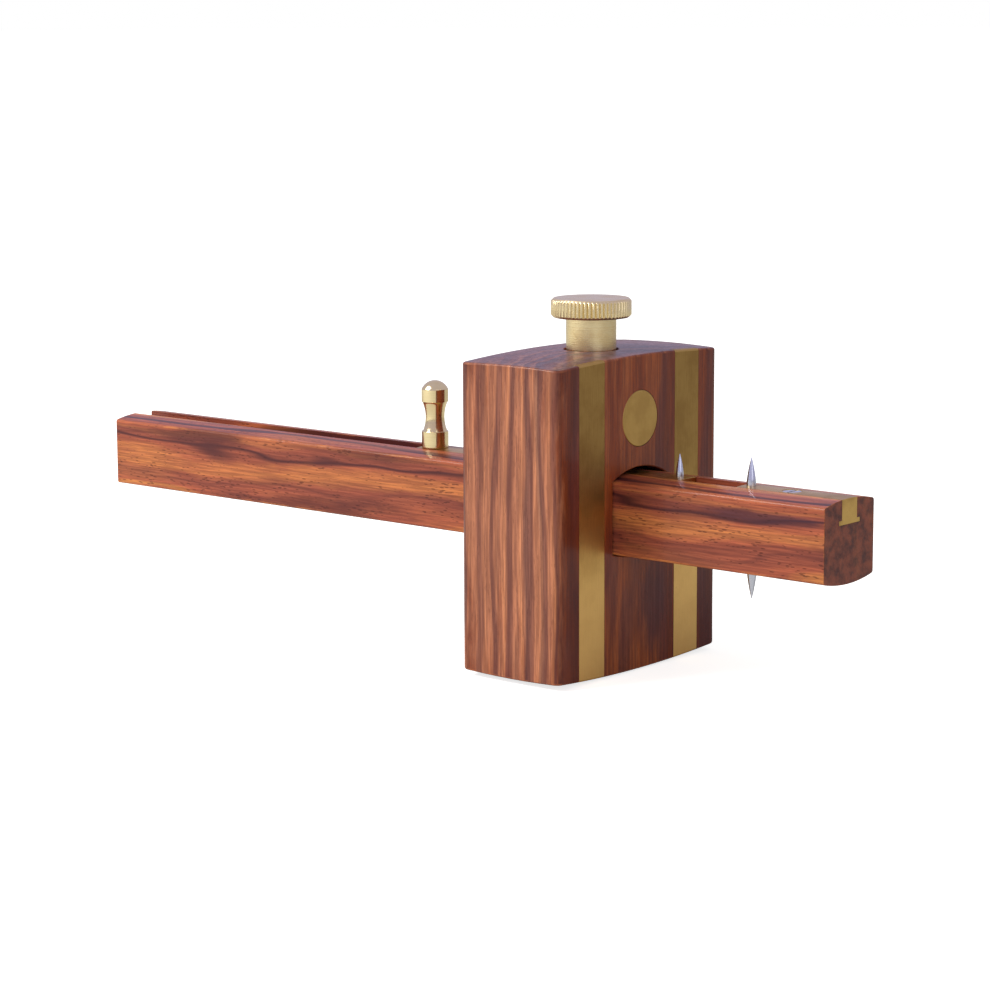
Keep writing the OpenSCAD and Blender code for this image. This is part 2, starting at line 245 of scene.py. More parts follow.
class GaugeColours(bpy.types.PropertyGroup):
    """Colours of the wood and the metals."""
    stock_pale: colour("Stock, pale wood", "Palest wood of the stock", 196, 116, 70)
    stock_red: colour("Stock, red wood", "Reddish ground of the stock", 148, 72, 42)
    stock_dark: colour("Stock, dark bands", "Dark bands of the stock", 74, 32, 30)
    stem_gold: colour("Stem, golden wood", "Golden middle of the stem", 226, 140, 76)
    stem_red: colour("Stem, red wood", "Orange-brown ground of the stem", 190, 98, 68)
    stem_dark: colour("Stem, dark bands", "Dark streaks of the stem", 84, 38, 36)
    # Partly the end grain's own colour and partly a painted lavender sheen, standing for the backdrop
    # reflected in the glossy crown
    crown: colour("Stock, crown with painted sheen", "Greyer end grain of the stock's crowned ends, with a painted lavender sheen", 112, 96, 112)
    growth: colour("Growth lines", "Purple-brown lines between the rings", 92, 48, 52)
    heart: colour("Dark heartwood", "Blue-purple heartwood of the darkest streaks", 52, 36, 56)
    pore: colour("Pores", "Open pores of the wood", 62, 24, 18)
    brass: colour("Brass", "Drawn and turned brass", 214, 176, 100)
    brass_dull: colour("Dull brass", "Brass that has begun to tarnish", 152, 114, 52)
    brass_bright: colour("Bright brass", "Freshly turned brass of the thumbscrew", 240, 222, 174)
    # Painted highlight: the bright brass painted at the foot of the wear strips and the barrel nut
    brass_lit: colour("Lit brass", "Brass at the foot of the wear strips", 252, 208, 126)
    stock_amber: colour("Stock, amber face", "Amber wood of the wear face", 150, 66, 20)
    # Painted light: the stock's front side, which faces the key lamp, is painted paler
    stock_painted_light: colour("Stock, painted light side", "Painted light on the side that faces the key lamp", 236, 162, 122)
    steel: colour("Steel", "Polished steel of the pins", 208, 212, 222)


class GaugeStudio(bpy.types.PropertyGroup):
    """Camera, lamps and backdrop."""
    azimuth: angle("Azimuth", "Camera's angle round the gauge", 40.266)
    elevation: angle("Elevation", "Camera's angle above the bench", 9.424)
    roll: angle("Roll", "Camera's turn about its own line of sight", -0.252)
    distance: length("Distance", "Distance from the camera to the point that it aims at", 709.85)
    aim_x: length("Aim along the stem", "Place along the stem that the camera aims at", 11.23)
    aim_drop: length("Aim drop", "Drop of the aim below the stem's axis", 0.35)
    focal: number("Focal length", "Focal length on a 36 mm frame, in millimetres", 104.62)
    key: number("Key light", "Power of the large soft light at the front left", 24, unit="POWER")
    fill: number("Fill light", "Power of the weak light at the front right", 1.6, unit="POWER")
    ambient: strength("Ambient", "Level of the soft light from all sides", 0.4)
    haze: colour("Backdrop in reflections", "What polished faces take from the studio", 196, 192, 222)
    floor: colour("Floor", "Colour of the floor", 232, 231, 229)
    floor_glow: strength("Floor glow", "What the floor adds towards white for the camera", 0.76)


def sizes():
    """The sizes that this scene holds."""
    return bpy.context.scene.gauge_sizes


def colours():
    """The colours that this scene holds."""
    return bpy.context.scene.gauge_colours


def studio():
    """The camera and lamp settings that this scene holds."""
    return bpy.context.scene.gauge_studio


# Mesh helpers

def arc_radius(half, rise):
    """Radius of the arc that rises by rise over the chord's half."""
    return (half * half + rise * rise) / (2 * rise)


def arc_drop(radius, across):
    """How far an arc has dropped at a distance across from its crest."""
    return radius - math.sqrt(radius * radius - across * across)


def spread(low, high, count):
    """Evenly spaced values from low to high."""
    return [low + (high - low) * i / (count - 1) for i in range(count)]


def bevel(mesh, edges, width, segments=3):
    """Breaks edges with a round bevel."""
    bmesh.ops.bevel(mesh, geom=list(edges), offset=width, offset_type="OFFSET", segments=segments,
                    profile=0.5, affect="EDGES", clamp_overlap=True, material=-1)


def block(low, high):
    """A rectangular block between two corners."""
    mesh = bmesh.new()
    bmesh.ops.create_cube(mesh, size=1)
    bmesh.ops.scale(mesh, vec=Vector(high) - Vector(low), verts=mesh.verts)
    bmesh.ops.translate(mesh, vec=(Vector(high) + Vector(low)) / 2, verts=mesh.verts)
    return mesh


def bar(outline, low, high):
    """A bar along X from low to high with an outline of (y, z) points."""
    mesh = bmesh.new()
    face = mesh.faces.new([mesh.verts.new((low, y, z)) for y, z in outline])
    made = bmesh.ops.extrude_face_region(mesh, geom=[face])
    moved = [item for item in made["geom"] if isinstance(item, bmesh.types.BMVert)]
    bmesh.ops.translate(mesh, vec=(high - low, 0, 0), verts=moved)
    bmesh.ops.recalc_face_normals(mesh, faces=mesh.faces)
    return mesh


def turned(profile, centre, lying=False, closed=False, steps=TURN_STEPS):
    """A piece turned from (radius, height) points about Z, or about X when it lies."""
    mesh = bmesh.new()
    verts = [mesh.verts.new((radius, 0, height)) for radius, height in profile]
    pairs = list(zip(verts, verts[1:] + verts[:1])) if closed else list(zip(verts, verts[1:]))
    edges = [mesh.edges.new(pair) for pair in pairs]
    bmesh.ops.spin(mesh, geom=verts + edges, cent=(0, 0, 0), axis=(0, 0, 1), angle=2 * math.pi,
                   steps=steps, use_merge=True)
    bmesh.ops.remove_doubles(mesh, verts=mesh.verts, dist=WELD)
    bmesh.ops.recalc_face_normals(mesh, faces=mesh.faces)
    if lying:
        quarter = Matrix.Rotation(math.pi / 2, 3, "Y")
        bmesh.ops.rotate(mesh, cent=(0, 0, 0), matrix=quarter, verts=mesh.verts)
    bmesh.ops.translate(mesh, vec=centre, verts=mesh.verts)
    return mesh


def rod(radius, low, high, centre, lying=False):
    """A plain closed cylinder along Z, or along X when it lies."""
    return turned([(0, low), (radius, low), (radius, high), (0, high)], centre, lying)


def seat(node, radius, low, high):
    """A round hole for a piece that is pressed in."""
    return rod(radius + SEAT_PLAY, low, high, under(node))


def softened(profile, radius, steps=3):
    """The profile with each corner off the axis rounded by radius."""
    rounded = [profile[0]]
    for before, corner, after in zip(profile, profile[1:], profile[2:]):
        here = Vector(corner)
        towards = [Vector(before) - here, Vector(after) - here]
        reach = min([radius] + [side.length * CORNER_SHARE for side in towards])
        start, end = [here + side.normalized() * reach for side in towards]
        for i in range(steps + 1):
            t = i / steps
            rounded.append(tuple(start * (1 - t) ** 2 + here * 2 * t * (1 - t) + end * t ** 2))
    return rounded + [profile[-1]]


def put_in_scene(name, data):
    """A new object in the scene with this data."""
    made = bpy.data.objects.new(name, data)
    bpy.context.scene.collection.objects.link(made)
    return made


def mesh_object(name, mesh):
    """A new object in the scene with this mesh, which is used up."""
    data = bpy.data.meshes.new(name)
    mesh.to_mesh(data)
    mesh.free()
    return put_in_scene(name, data)


def boolean(mesh, tool, operation):
    """The mesh cut by the tool, kept only inside it or joined with it. Both are used up."""
    body = mesh_object("cut_body", mesh)
    cutter = mesh_object("cut_tool", tool)
    modifier = body.modifiers.new("cut", "BOOLEAN")
    modifier.operation = operation
    modifier.solver = "EXACT"
    modifier.object = cutter
    bpy.context.view_layer.update()
    result = bmesh.new()
    result.from_object(body, bpy.context.evaluated_depsgraph_get())
    for made in (body, cutter):
        data = made.data
        bpy.data.objects.remove(made)
        bpy.data.meshes.remove(data)
    bmesh.ops.remove_doubles(result, verts=result.verts, dist=WELD)
    if not result.faces:
        raise RuntimeError("a cut left nothing of the piece")
    return result


def cut(mesh, *tools):
    """The mesh with each tool's space taken out of it."""
    for tool in tools:
        mesh = boolean(mesh, tool, "DIFFERENCE")
    return mesh


def flare(mesh, low, high, width):
    """Splays a through cutter along X so that it breaks the edges of both mouths."""
    centre = sum((v.co for v in mesh.verts), Vector()) / len(mesh.verts)
    half = max(abs(v.co.y - centre.y) for v in mesh.verts)
    for face_x, way in ((low, -1), (high, 1)):
        for place in (face_x - way * width, face_x + way * width):
            bmesh.ops.bisect_plane(mesh, geom=mesh.verts[:] + mesh.edges[:] + mesh.faces[:],
                                   plane_co=(place, 0, 0), plane_no=(1, 0, 0), dist=WELD)
        outer = [v for v in mesh.verts if (v.co.x - face_x) * way > width / 2]
        grow = (half + 2 * width) / half
        bmesh.ops.scale(mesh, vec=(1, grow, grow), space=Matrix.Translation(-centre), verts=outer)
    return mesh


def body_of(node):
    """The moving body that a node belongs to."""
    for name, members in frame["record"]["behaviour"]["bodies"].items():
        if node in members:
            return name
    raise RuntimeError("no body holds " + node)


def finish_piece(mesh, node, material):
    """Makes the mesh the piece that stands for a node, and marks its edge breaks for wear and painted edge
    highlights.
    """
    bmesh.ops.dissolve_degenerate(mesh, dist=WELD, edges=mesh.edges)
    arris = mesh.faces.layers.float.new("arris")
    for face in mesh.faces:
        face.smooth = True
        face[arris] = 1.0 if face.calc_area() < ARRIS_WIDTH * face.calc_perimeter() else 0.0
    piece = mesh_object(node + "_finish", mesh)
    piece.data.set_sharp_from_angle(angle=CRISP_ANGLE)
    piece.data.materials.append(material)
    weights = piece.modifiers.new("crisp flats", "WEIGHTED_NORMAL")
    weights.keep_sharp = True
    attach(piece, body_of(node))
    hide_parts(node)


# Material helpers

class Finish:
    """The shader nodes of one material or world, with short calls that make them."""

    def __init__(self, owner):
        owner.use_nodes = True
        self.owner = owner
        self.tree = owner.node_tree
        self.tree.nodes.clear()

    def node(self, kind, inputs, **settings):
        """A node with its settings, and with a value or a link at each input."""
        made = self.tree.nodes.new(kind)
        for key, value in settings.items():
            setattr(made, key, value)
        for key, value in inputs.items():
            socket = made.inputs[key]
            if isinstance(value, bpy.types.NodeSocket):
                self.tree.links.new(value, socket)
            elif socket.type == "RGBA":
                socket.default_value = (*value, 1)
            else:
                socket.default_value = value
        return made

    def place(self, centre=(0, 0, 0), stretch=(1, 1, 1)):
        """Object coordinates in millimetres from a centre, squeezed along each axis."""
        found = self.node("ShaderNodeTexCoord", {})
        scale = [s / MM for s in stretch]
        shift = [-c * s for c, s in zip(centre, scale)]
        made = self.node("ShaderNodeMapping", {"Vector": found.outputs["Object"], "Location": shift,
                                               "Scale": scale})
        return made.outputs["Vector"]

    def math(self, operation, first, second=0.0):
        """A sum of one or two numbers."""
        made = self.node("ShaderNodeMath", {0: first, 1: second}, operation=operation)
        return made.outputs[0]

    def vector(self, operation, first, second=(0, 0, 0)):
        """A sum of one or two vectors."""
        made = self.node("ShaderNodeVectorMath", {0: first, 1: second}, operation=operation)
        return made.outputs["Value" if operation in ("LENGTH", "DOT_PRODUCT") else "Vector"]

    def noise(self, vector, scale, detail=2.0, roughness=0.5, output=0):
        """Cloudy noise: output 0 is a number and output 1 a colour."""
        made = self.node("ShaderNodeTexNoise", {"Vector": vector, "Scale": scale, "Detail": detail,
                                                "Roughness": roughness})
        return made.outputs[output]

    def lines(self, value, scale, detail=2.0, roughness=0.5):
        """Uneven lines that follow one rising value."""
        made = self.node("ShaderNodeTexNoise", {"W": value, "Scale": scale, "Detail": detail,
                                                "Roughness": roughness}, noise_dimensions="1D")
        return made.outputs[0]

    def fade(self, value, start, end, low=0.0, high=1.0):
        """A smooth step from low to high as the value goes from start to end."""
        made = self.node("ShaderNodeMapRange", {"Value": value, "From Min": start, "From Max": end,
                                                "To Min": low, "To Max": high},
                         interpolation_type="SMOOTHSTEP")
        return made.outputs["Result"]

    def mix(self, factor, first, second):
        """A blend of two colours, from the first at 0 to the second at 1."""
        made = self.node("ShaderNodeMix", {0: factor, 6: first, 7: second}, data_type="RGBA")
        return made.outputs[2]

    def ramp(self, factor, stops):
        """Colours at stops from 0 to 1."""
        made = self.node("ShaderNodeValToRGB", {"Fac": factor})
        elements = made.color_ramp.elements
        while len(elements) < len(stops):
            elements.new(1)
        for element, (position, shade) in zip(elements, stops):
            element.position = position
            element.color = (*shade, 1)
        return made.outputs["Color"]

    def bump(self, height, share, distance):
        """Fine relief from a height."""
        made = self.node("ShaderNodeBump", {"Height": height, "Strength": share, "Distance": distance})
        return made.outputs["Normal"]

    def arris(self):
        """1 on the edge breaks and 0 elsewhere."""
        return self.node("ShaderNodeAttribute", {}, attribute_name="arris").outputs["Fac"]

    def close(self, inputs):
        """Ends the material in one shader with these inputs."""
        shader = self.node("ShaderNodeBsdfPrincipled", inputs)
        self.node("ShaderNodeOutputMaterial", {"Surface": shader.outputs[0]})
        return self.owner


def along(axis, share, across=1.0):
    """A squeeze that draws a pattern out along one axis."""
    return [share if i == axis else across for i in range(3)]


def bent_grain(finish, axis, seed):
    """Places in the wood in millimetres, with the grain drifting a little from side to side."""
    drift = finish.noise(finish.place((0, 0, seed * MM), along(axis, 0.16)), 0.085, output=1)
    drift = finish.vector("SUBTRACT", drift, (0.5, 0.5, 0.5))
    drift = finish.vector("MULTIPLY", drift, [GRAIN_DRIFT] * 3)
    return finish.vector("ADD", finish.place(), drift)


def add_streaks(finish, shade, bent, rough_edge, streaks):
    """Ragged patches, each with a centre and a reach in millimetres, a colour and a strength."""
    ragged = finish.math("MULTIPLY", rough_edge, STREAK_EDGE)
    for centre, reach, streak_colour, share in streaks:
        away = finish.vector("SUBTRACT", bent, centre)
        away = finish.vector("MULTIPLY", away, [1 / r for r in reach])
        away = finish.math("ADD", finish.vector("LENGTH", away), ragged)
        shade = finish.mix(finish.fade(away, 2.0, 1.15, 0, share), shade, streak_colour)
    return shade


def growth_lines(finish, ring, bands, spacing, share):
    """Soft lines at an even spacing from the pith, shifted a little by the uneven bands."""
    turn = finish.math("ADD", finish.math("MULTIPLY", ring, 2 * math.pi / spacing),
                       finish.math("MULTIPLY", bands, LINE_SHIFT))
    return finish.fade(finish.math("SINE", turn), -0.1, 0.95, 0.0, share)


def pores(finish, axis):
    """1 in short dashes along the grain, wider where they come in clusters."""
    cells = finish.node("ShaderNodeTexVoronoi", {"Vector": finish.place(stretch=along(axis, 0.42, 2.0)),
                                                 "Scale": 1.0, "Randomness": 1.0})
    clusters = finish.noise(finish.place(stretch=along(axis, 0.3)), 0.35)
    reach = finish.fade(clusters, 0.40, 0.66, 0.10, 0.30)
    return finish.fade(finish.math("SUBTRACT", cells.outputs["Distance"], reach), 0.05, -0.03)


def end_grain(finish, axis):
    """1 on faces that cut across the grain and 0 on the others."""
    facing = finish.node("ShaderNodeNewGeometry", {}).outputs["True Normal"]
    across = finish.vector("DOT_PRODUCT", facing, along(axis, 1.0, 0.0))
    return finish.fade(finish.math("ABSOLUTE", across), 0.6, 0.9)


def rosewood(name, axis, pith, ring_width, wood, streaks, seed, line_share, pore_share, end_shade,
             end_share):
    """Lacquered rosewood with its grain along one axis and its rings round a distant pith.

    The wood is given as its pale, its red and its dark colour."""
    pale, red, dark = wood
    tint = colours()
    finish = Finish(bpy.data.materials.new(name))
    bent = bent_grain(finish, axis, seed)
    from_pith = finish.vector("SUBTRACT", bent, pith)
    ring = finish.vector("LENGTH", finish.vector("MULTIPLY", from_pith, along(axis, 0.02)))
    bands = finish.lines(ring, 1 / ring_width, 3.0, 0.62)
    shade = finish.ramp(bands, [(0.36, dark), (0.46, red), (0.53, red), (0.64, pale)])

    wide = finish.noise(finish.place(stretch=along(axis, 0.12)), 0.11, 2.0, 0.55)
    shade = finish.mix(finish.fade(wide, 0.52, 0.68, 0, 0.35), shade, pale)
    shade = finish.mix(finish.fade(wide, 0.46, 0.32, 0, 0.45), shade, dark)

    rough_edge = finish.noise(finish.place(stretch=along(axis, 0.2)), 0.32, 4.0, 0.65)
    shade = add_streaks(finish, shade, bent, rough_edge, streaks)
    lines = growth_lines(finish, ring, bands, LINE_SPACING * ring_width, line_share)
    shade = finish.mix(lines, shade, tint.growth)

    fibre = finish.noise(finish.place(stretch=along(axis, 0.035)), 1.7, 4.0, 0.7)
    shade = finish.mix(finish.fade(fibre, 0.35, 0.60, 0.0, 0.5), shade, dark)
    pore = pores(finish, axis)
    shade = finish.mix(finish.math("MULTIPLY", pore, pore_share), shade, tint.pore)

    mottle = finish.noise(finish.place(), 0.42, 3.0, 0.6)
    ends = finish.mix(finish.fade(mottle, 0.25, 0.72), darker(dark, 0.6), end_shade)
    shade = finish.mix(finish.math("MULTIPLY", end_grain(finish, axis), end_share), shade, ends)
    # Edge wear with a painted highlight: the edge breaks are painted towards the pale wood
    worn_and_highlit = finish.math("MULTIPLY", finish.arris(), finish.fade(rough_edge, 0.5, 0.66, 0.08, 0.55))
    shade = finish.mix(worn_and_highlit, shade, pale)

    height = finish.math("SUBTRACT", finish.math("MULTIPLY", fibre, 0.35), pore)
    return finish.close({
        "Base Color": shade, "Roughness": finish.fade(fibre, 0.3, 0.7, 0.34, 0.46), "IOR": 1.5,
        "Coat Weight": 0.25, "Specular IOR Level": 0.14, "Coat Roughness": 0.14,
        "Normal": finish.bump(height, 0.35, PORE_DEPTH),
    })


def brass(name, centre, drawn_along=None, polish=0.3, dull=0.5, line_depth=0.35, fresh=False,
          shaded_top=False):
    """Brass with fine tool marks, along an axis where it was drawn and round Z where it was turned."""
    tint = colours()
    finish = Finish(bpy.data.materials.new(name))
    local = finish.place(centre)
    if drawn_along is None:
        radius = finish.vector("LENGTH", finish.vector("MULTIPLY", local, (1, 1, 0)))
        travel = finish.math("ADD", radius, finish.vector("DOT_PRODUCT", local, (0, 0, 1)))
        marks = finish.lines(travel, 5.0, 4.0, 0.75)
    else:
        marks = finish.noise(finish.place(centre, along(drawn_along, 0.02)), 7.0, 4.0, 0.75)
    bloom = finish.noise(local, 0.16, 3.0, 0.6)
    speck = finish.noise(local, 1.6, 3.0, 0.7)
    clean, tarnished = (tint.brass_bright, tint.brass) if fresh else (tint.brass, tint.brass_dull)
    shade = finish.mix(finish.fade(bloom, 0.38, 0.66, 0.0, dull), clean, tarnished)
    shade = finish.mix(finish.fade(marks, 0.35, 0.65, 0.0, 0.35), shade, tarnished)
    # Painted reflection: the brass is painted darker towards the top, from the dull brass colour, and
    # painted bright at the foot, where the floor would be seen in it
    if shaded_top:
        up = finish.vector("DOT_PRODUCT", finish.place(), (0, 0, 1))
        darkest = darker(tint.brass_dull, 0.62)
        shade = finish.mix(finish.fade(up, 22, 52, 0.0, 0.6), shade, darkest)
        shade = finish.mix(finish.fade(up, 42, 18, 0.0, 0.7), shade, tint.brass_lit)
    shade = finish.mix(finish.fade(speck, 0.66, 0.76, 0.0, 0.3), shade, tint.pore)
    # Rubbed edges with a painted highlight: the edge breaks are painted towards clean brass
    shade = finish.mix(finish.math("MULTIPLY", finish.arris(), 0.5), shade, clean)
    rough = finish.math("ADD", finish.fade(marks, 0.3, 0.7, polish - 0.05, polish + 0.08),
                        finish.fade(bloom, 0.4, 0.7, 0.0, 0.06))
    return finish.close({
        "Base Color": shade, "Metallic": 1.0, "Roughness": rough,
        "Normal": finish.bump(marks, line_depth, TOOL_DEPTH),
    })


def steel(name, centre, polish=0.18):
    """Polished steel with faint grinding marks round the pin."""
    tint = colours()
    finish = Finish(bpy.data.materials.new(name))
    local = finish.place(centre)
    marks = finish.lines(finish.vector("DOT_PRODUCT", local, (0, 0, 1)), 7.0, 3.0, 0.7)
    stain = finish.noise(local, 0.9, 3.0, 0.6)
    shade = finish.mix(finish.fade(stain, 0.5, 0.75, 0.0, 0.4), tint.steel, darker(tint.steel, 0.45))
    rough = finish.fade(marks, 0.3, 0.7, polish, polish + 0.1)
    return finish.close({
        "Base Color": shade, "Metallic": 1.0, "Roughness": rough,
        "Normal": finish.bump(marks, 0.25, GRIND_DEPTH),
    })


# The stock

def stock_blank():
    """The stock before anything is cut from it: crowned ends, round corners and broken edges."""
    size = sizes()
    low, high = box("stock")
    mesh = block(low, high)
    upright = [e for e in mesh.edges if abs(e.verts[0].co.z - e.verts[1].co.z) > size.stock_corner]
    bevel(mesh, upright, size.stock_corner, segments=6)
    rims = [e for e in mesh.edges if abs(e.verts[0].co.z - e.verts[1].co.z) < WELD]
    bevel(mesh, rims, size.stock_arris)
    inside = size.stock_corner + size.stock_arris
    for axis, count in ((Y, CROWN_POINTS), (X, THICKNESS_POINTS)):
        normal = along(axis, 1.0, 0.0)
        for place in spread(low[axis] + inside, high[axis] - inside, count):
            bmesh.ops.bisect_plane(mesh, geom=mesh.verts[:] + mesh.edges[:] + mesh.faces[:],
                                   plane_co=[place * n for n in normal], plane_no=normal, dist=WELD)
    centre = (low + high) / 2
    width_r = arc_radius(half_of("stock", Y), size.width_rise)
    thickness_r = arc_radius(half_of("stock"), size.thickness_rise)
    for vert in mesh.verts:
        drop = arc_drop(width_r, vert.co.y - centre.y) + arc_drop(thickness_r, vert.co.x - centre.x)
        vert.co.z -= math.copysign(drop, vert.co.z - centre.z)
    return mesh


def strip_bed(node, seam):
    """The space of a wear strip, with a seam round it and room past the wear face."""
    low, high = box(node)
    low = Vector((low.x - seam, low.y - seam, low.z - PAST))
    high = Vector((high.x + PAST, high.y + seam, high.z + PAST))
    return block(low, high)


def opening_outline():
    """The opening follows the stem's sides and underside, and has an arched roof."""
    size = sizes()
    low, high = box("stem")
    half = half_of("stem", Y)
    crown = high.z - middle("stem").z - size.stem_side / 2
    wide = half + size.opening_play
    roof = high.z + size.opening_roof
    foot = low.z - size.opening_foot
    roof_r = arc_radius(wide, size.opening_roof + crown)
    foot_r = arc_radius(half, crown)
    upper = [(y, roof - arc_drop(roof_r, y)) for y in spread(wide, -wide, CROWN_POINTS)]
    lower = [(y, foot + arc_drop(foot_r, y)) for y in spread(-wide, wide, CROWN_POINTS)]
    return upper + lower


def screw_passage():
    """The stepped hole from the crown down to the shoe's pocket."""
    size = sizes()
    top = box("stock")[1].z
    stem_top = box("stem")[1].z
    shank_r = size.shank / 2 + size.passage_play
    thread_r = size.thread / 2 + size.passage_play
    shoe_r = half_of("clamp_shoe") + size.passage_play
    step = top - size.shank_in_stock - LIFT_ROOM
    pocket = box("clamp_shoe")[1].z + POCKET_ROOM
    mouth = top - size.opening_break
    profile = [
        (0, stem_top), (shoe_r, stem_top), (shoe_r, pocket), (thread_r, pocket), (thread_r, step),
        (shank_r, step), (shank_r, mouth), (shank_r + PAST, mouth + PAST), (0, mouth + PAST),
    ]
    return turned(profile, under("thumbscrew"))


def stock_streaks():
    """Where the stock's colour changes: the wear face and its dark heart in the wood, and painted light on
    the front side that faces the key lamp.
    """
    tint = colours()
    return [
        ((57, 0, 40), (5, 60, 80), tint.stock_amber, 0.7),
        ((56, 4, 17), (12, 8, 13), tint.heart, 0.58),
        ((56, -12, 24), (12, 3, 16), tint.heart, 0.35),
        ((56, -25, 40), (10, 2, 60), tint.stock_dark, 0.5),
        ((56, 26, 10), (8, 5, 24), tint.stock_dark, 0.5),
        # Painted light: the front side, which faces the key lamp, is painted paler
        ((41, -32, 38), (30, 5, 60), tint.stock_painted_light, 0.46),
    ]


class GAUGE_OT_stock(bpy.types.Operator):
    """Make the rosewood stock with its opening, beds and screw hole"""
    bl_idname = "gauge.stock"
    bl_label = "Stock"

    def execute(self, context):
        size = sizes()
        tint = colours()
        low, high = box("stock")
        opening = bar(opening_outline(), low.x - PAST, high.x + PAST)
        flare(opening, low.x, high.x, size.opening_break)
        nut_low, nut_high = box("barrel_nut")
        nut = middle("barrel_nut")
        bore = rod(half_of("barrel_nut", Y) + size.seam, nut_low.x, nut_high.x + PAST,
                   (0, nut.y, nut.z), lying=True)
        mesh = cut(stock_blank(), strip_bed("wear_strip_front", size.seam),
                   strip_bed("wear_strip_back", size.seam), opening, bore, screw_passage())
        # The crowned ends take the crown colour: end grain with a painted lavender sheen
        wood = rosewood("stock_rosewood", Z, (101, -6, 0), 3.4,
                        (tint.stock_pale, tint.stock_red, tint.stock_dark), stock_streaks(), seed=0,
                        line_share=0.56, pore_share=0.22, end_shade=tint.crown, end_share=0.5)
        finish_piece(mesh, "stock", wood)
        return {"FINISHED"}


class GAUGE_OT_wear_strips(bpy.types.Operator):
    """Make the two brass strips let into the wear face"""
    bl_idname = "gauge.wear_strips"
    bl_label = "Wear strips"

    def execute(self, context):
        metal = brass("drawn_brass", (0, 0, 0), Z, polish=0.42, dull=0.4, shaded_top=True)
        for node in ("wear_strip_front", "wear_strip_back"):
            mesh = boolean(stock_blank(), strip_bed(node, 0), "INTERSECT")
            finish_piece(mesh, node, metal)
        return {"FINISHED"}


class GAUGE_OT_barrel_nut(bpy.types.Operator):
    """Make the barrel nut whose round end shows in the wear face"""
    bl_idname = "gauge.barrel_nut"
    bl_label = "Barrel nut"

    def execute(self, context):
        size = sizes()
        low, high = box("barrel_nut")
        centre = middle("barrel_nut")
        radius = half_of("barrel_nut", Y)
        profile = softened([(0, low.x), (radius, low.x), (radius, high.x), (0, high.x)], size.nut_break)
        mesh = turned(profile, (0, centre.y, centre.z), lying=True)
        thread_hole = rod(size.thread / 2 + RUNNING_PLAY, low.z - PAST, high.z + PAST,
                          under("thumbscrew"))
        metal = brass("nut_brass", centre, Z, polish=0.4, dull=1.0, shaded_top=True)
        finish_piece(cut(mesh, thread_hole), "barrel_nut", metal)
        return {"FINISHED"}


class GAUGE_OT_thumbscrew(bpy.types.Operator):
    """Make the thumbscrew with its knurled head, shank, thread and riveted spigot"""
    bl_idname = "gauge.thumbscrew"
    bl_label = "Thumbscrew"

    def execute(self, context):
        metal = brass("turned_brass", under("thumbscrew"), polish=0.24, dull=0.35, fresh=True)
        finish_piece(thumbscrew_mesh(), "thumbscrew", metal)
        return {"FINISHED"}


def knurled_head():
    """The head's rings are extruded upwards from a circle, with the knurls pushed in."""
    size = sizes()
    radius = half_of("thumbscrew")
    foot = under("thumbscrew") + Vector((0, 0, box("thumbscrew")[1].z - size.head_height))

    def reach(level, turn):
        """The head's radius at a height and an angle, on the bevel or in a knurl."""
        rim = radius - size.head_bevel + min(level, size.head_height - level)
        groove = max(0.0, 1 - abs(turn * size.knurls % 1 - 0.5) / KNURL_CUT)
        return min(rim, radius - size.knurl_depth * groove)

    mesh = bmesh.new()
    steps = size.knurls * KNURL_STEPS
    heights = [share * size.head_bevel for share in BEVEL_RINGS]
    heights += [size.head_height - h for h in reversed(heights)]
    rings = [bmesh.ops.create_circle(mesh, segments=steps, radius=radius)["verts"]]
    edges = list(mesh.edges)
    for height in heights[1:]:
        made = bmesh.ops.extrude_edge_only(mesh, edges=edges)["geom"]
        edges = [item for item in made if isinstance(item, bmesh.types.BMEdge)]
        rings.append([item for item in made if isinstance(item, bmesh.types.BMVert)])
    for verts, height in zip(rings, heights):
        for vert in verts:
            turn = math.atan2(vert.co.y, vert.co.x) / (2 * math.pi)
            flat = Vector((vert.co.x, vert.co.y, 0)).normalized() * reach(height, turn)
            vert.co = foot + Vector((0, 0, height)) + flat
    bmesh.ops.contextual_create(mesh, geom=edges)
    bmesh.ops.contextual_create(mesh, geom=[e for e in mesh.edges if e.is_boundary])
    bmesh.ops.recalc_face_normals(mesh, faces=mesh.faces)
    return mesh


def thumbscrew_mesh():
    """The knurled head on its turned shank, thread and riveted spigot."""
    size = sizes()
    low, high = box("thumbscrew")
    head_foot = high.z - size.head_height
    shank_foot = box("stock")[1].z - size.shank_in_stock
    shoe_top = box("clamp_shoe")[1].z
    rivet_top = low.z + RIVET_HEIGHT
    thread_r = size.thread / 2
    shank_r = size.shank / 2
    profile = [
        (0, low.z), (size.rivet / 2, low.z), (size.rivet / 2, rivet_top), (size.spigot / 2, rivet_top),
        (size.spigot / 2, shoe_top), (thread_r, shoe_top), (thread_r, shank_foot), (shank_r, shank_foot),
        (shank_r, head_foot), (shank_r, head_foot + PAST), (0, head_foot + PAST),
    ]
    shank = turned(softened(profile, SHANK_BREAK, steps=2), under("thumbscrew"))
    return boolean(knurled_head(), shank, "UNION")


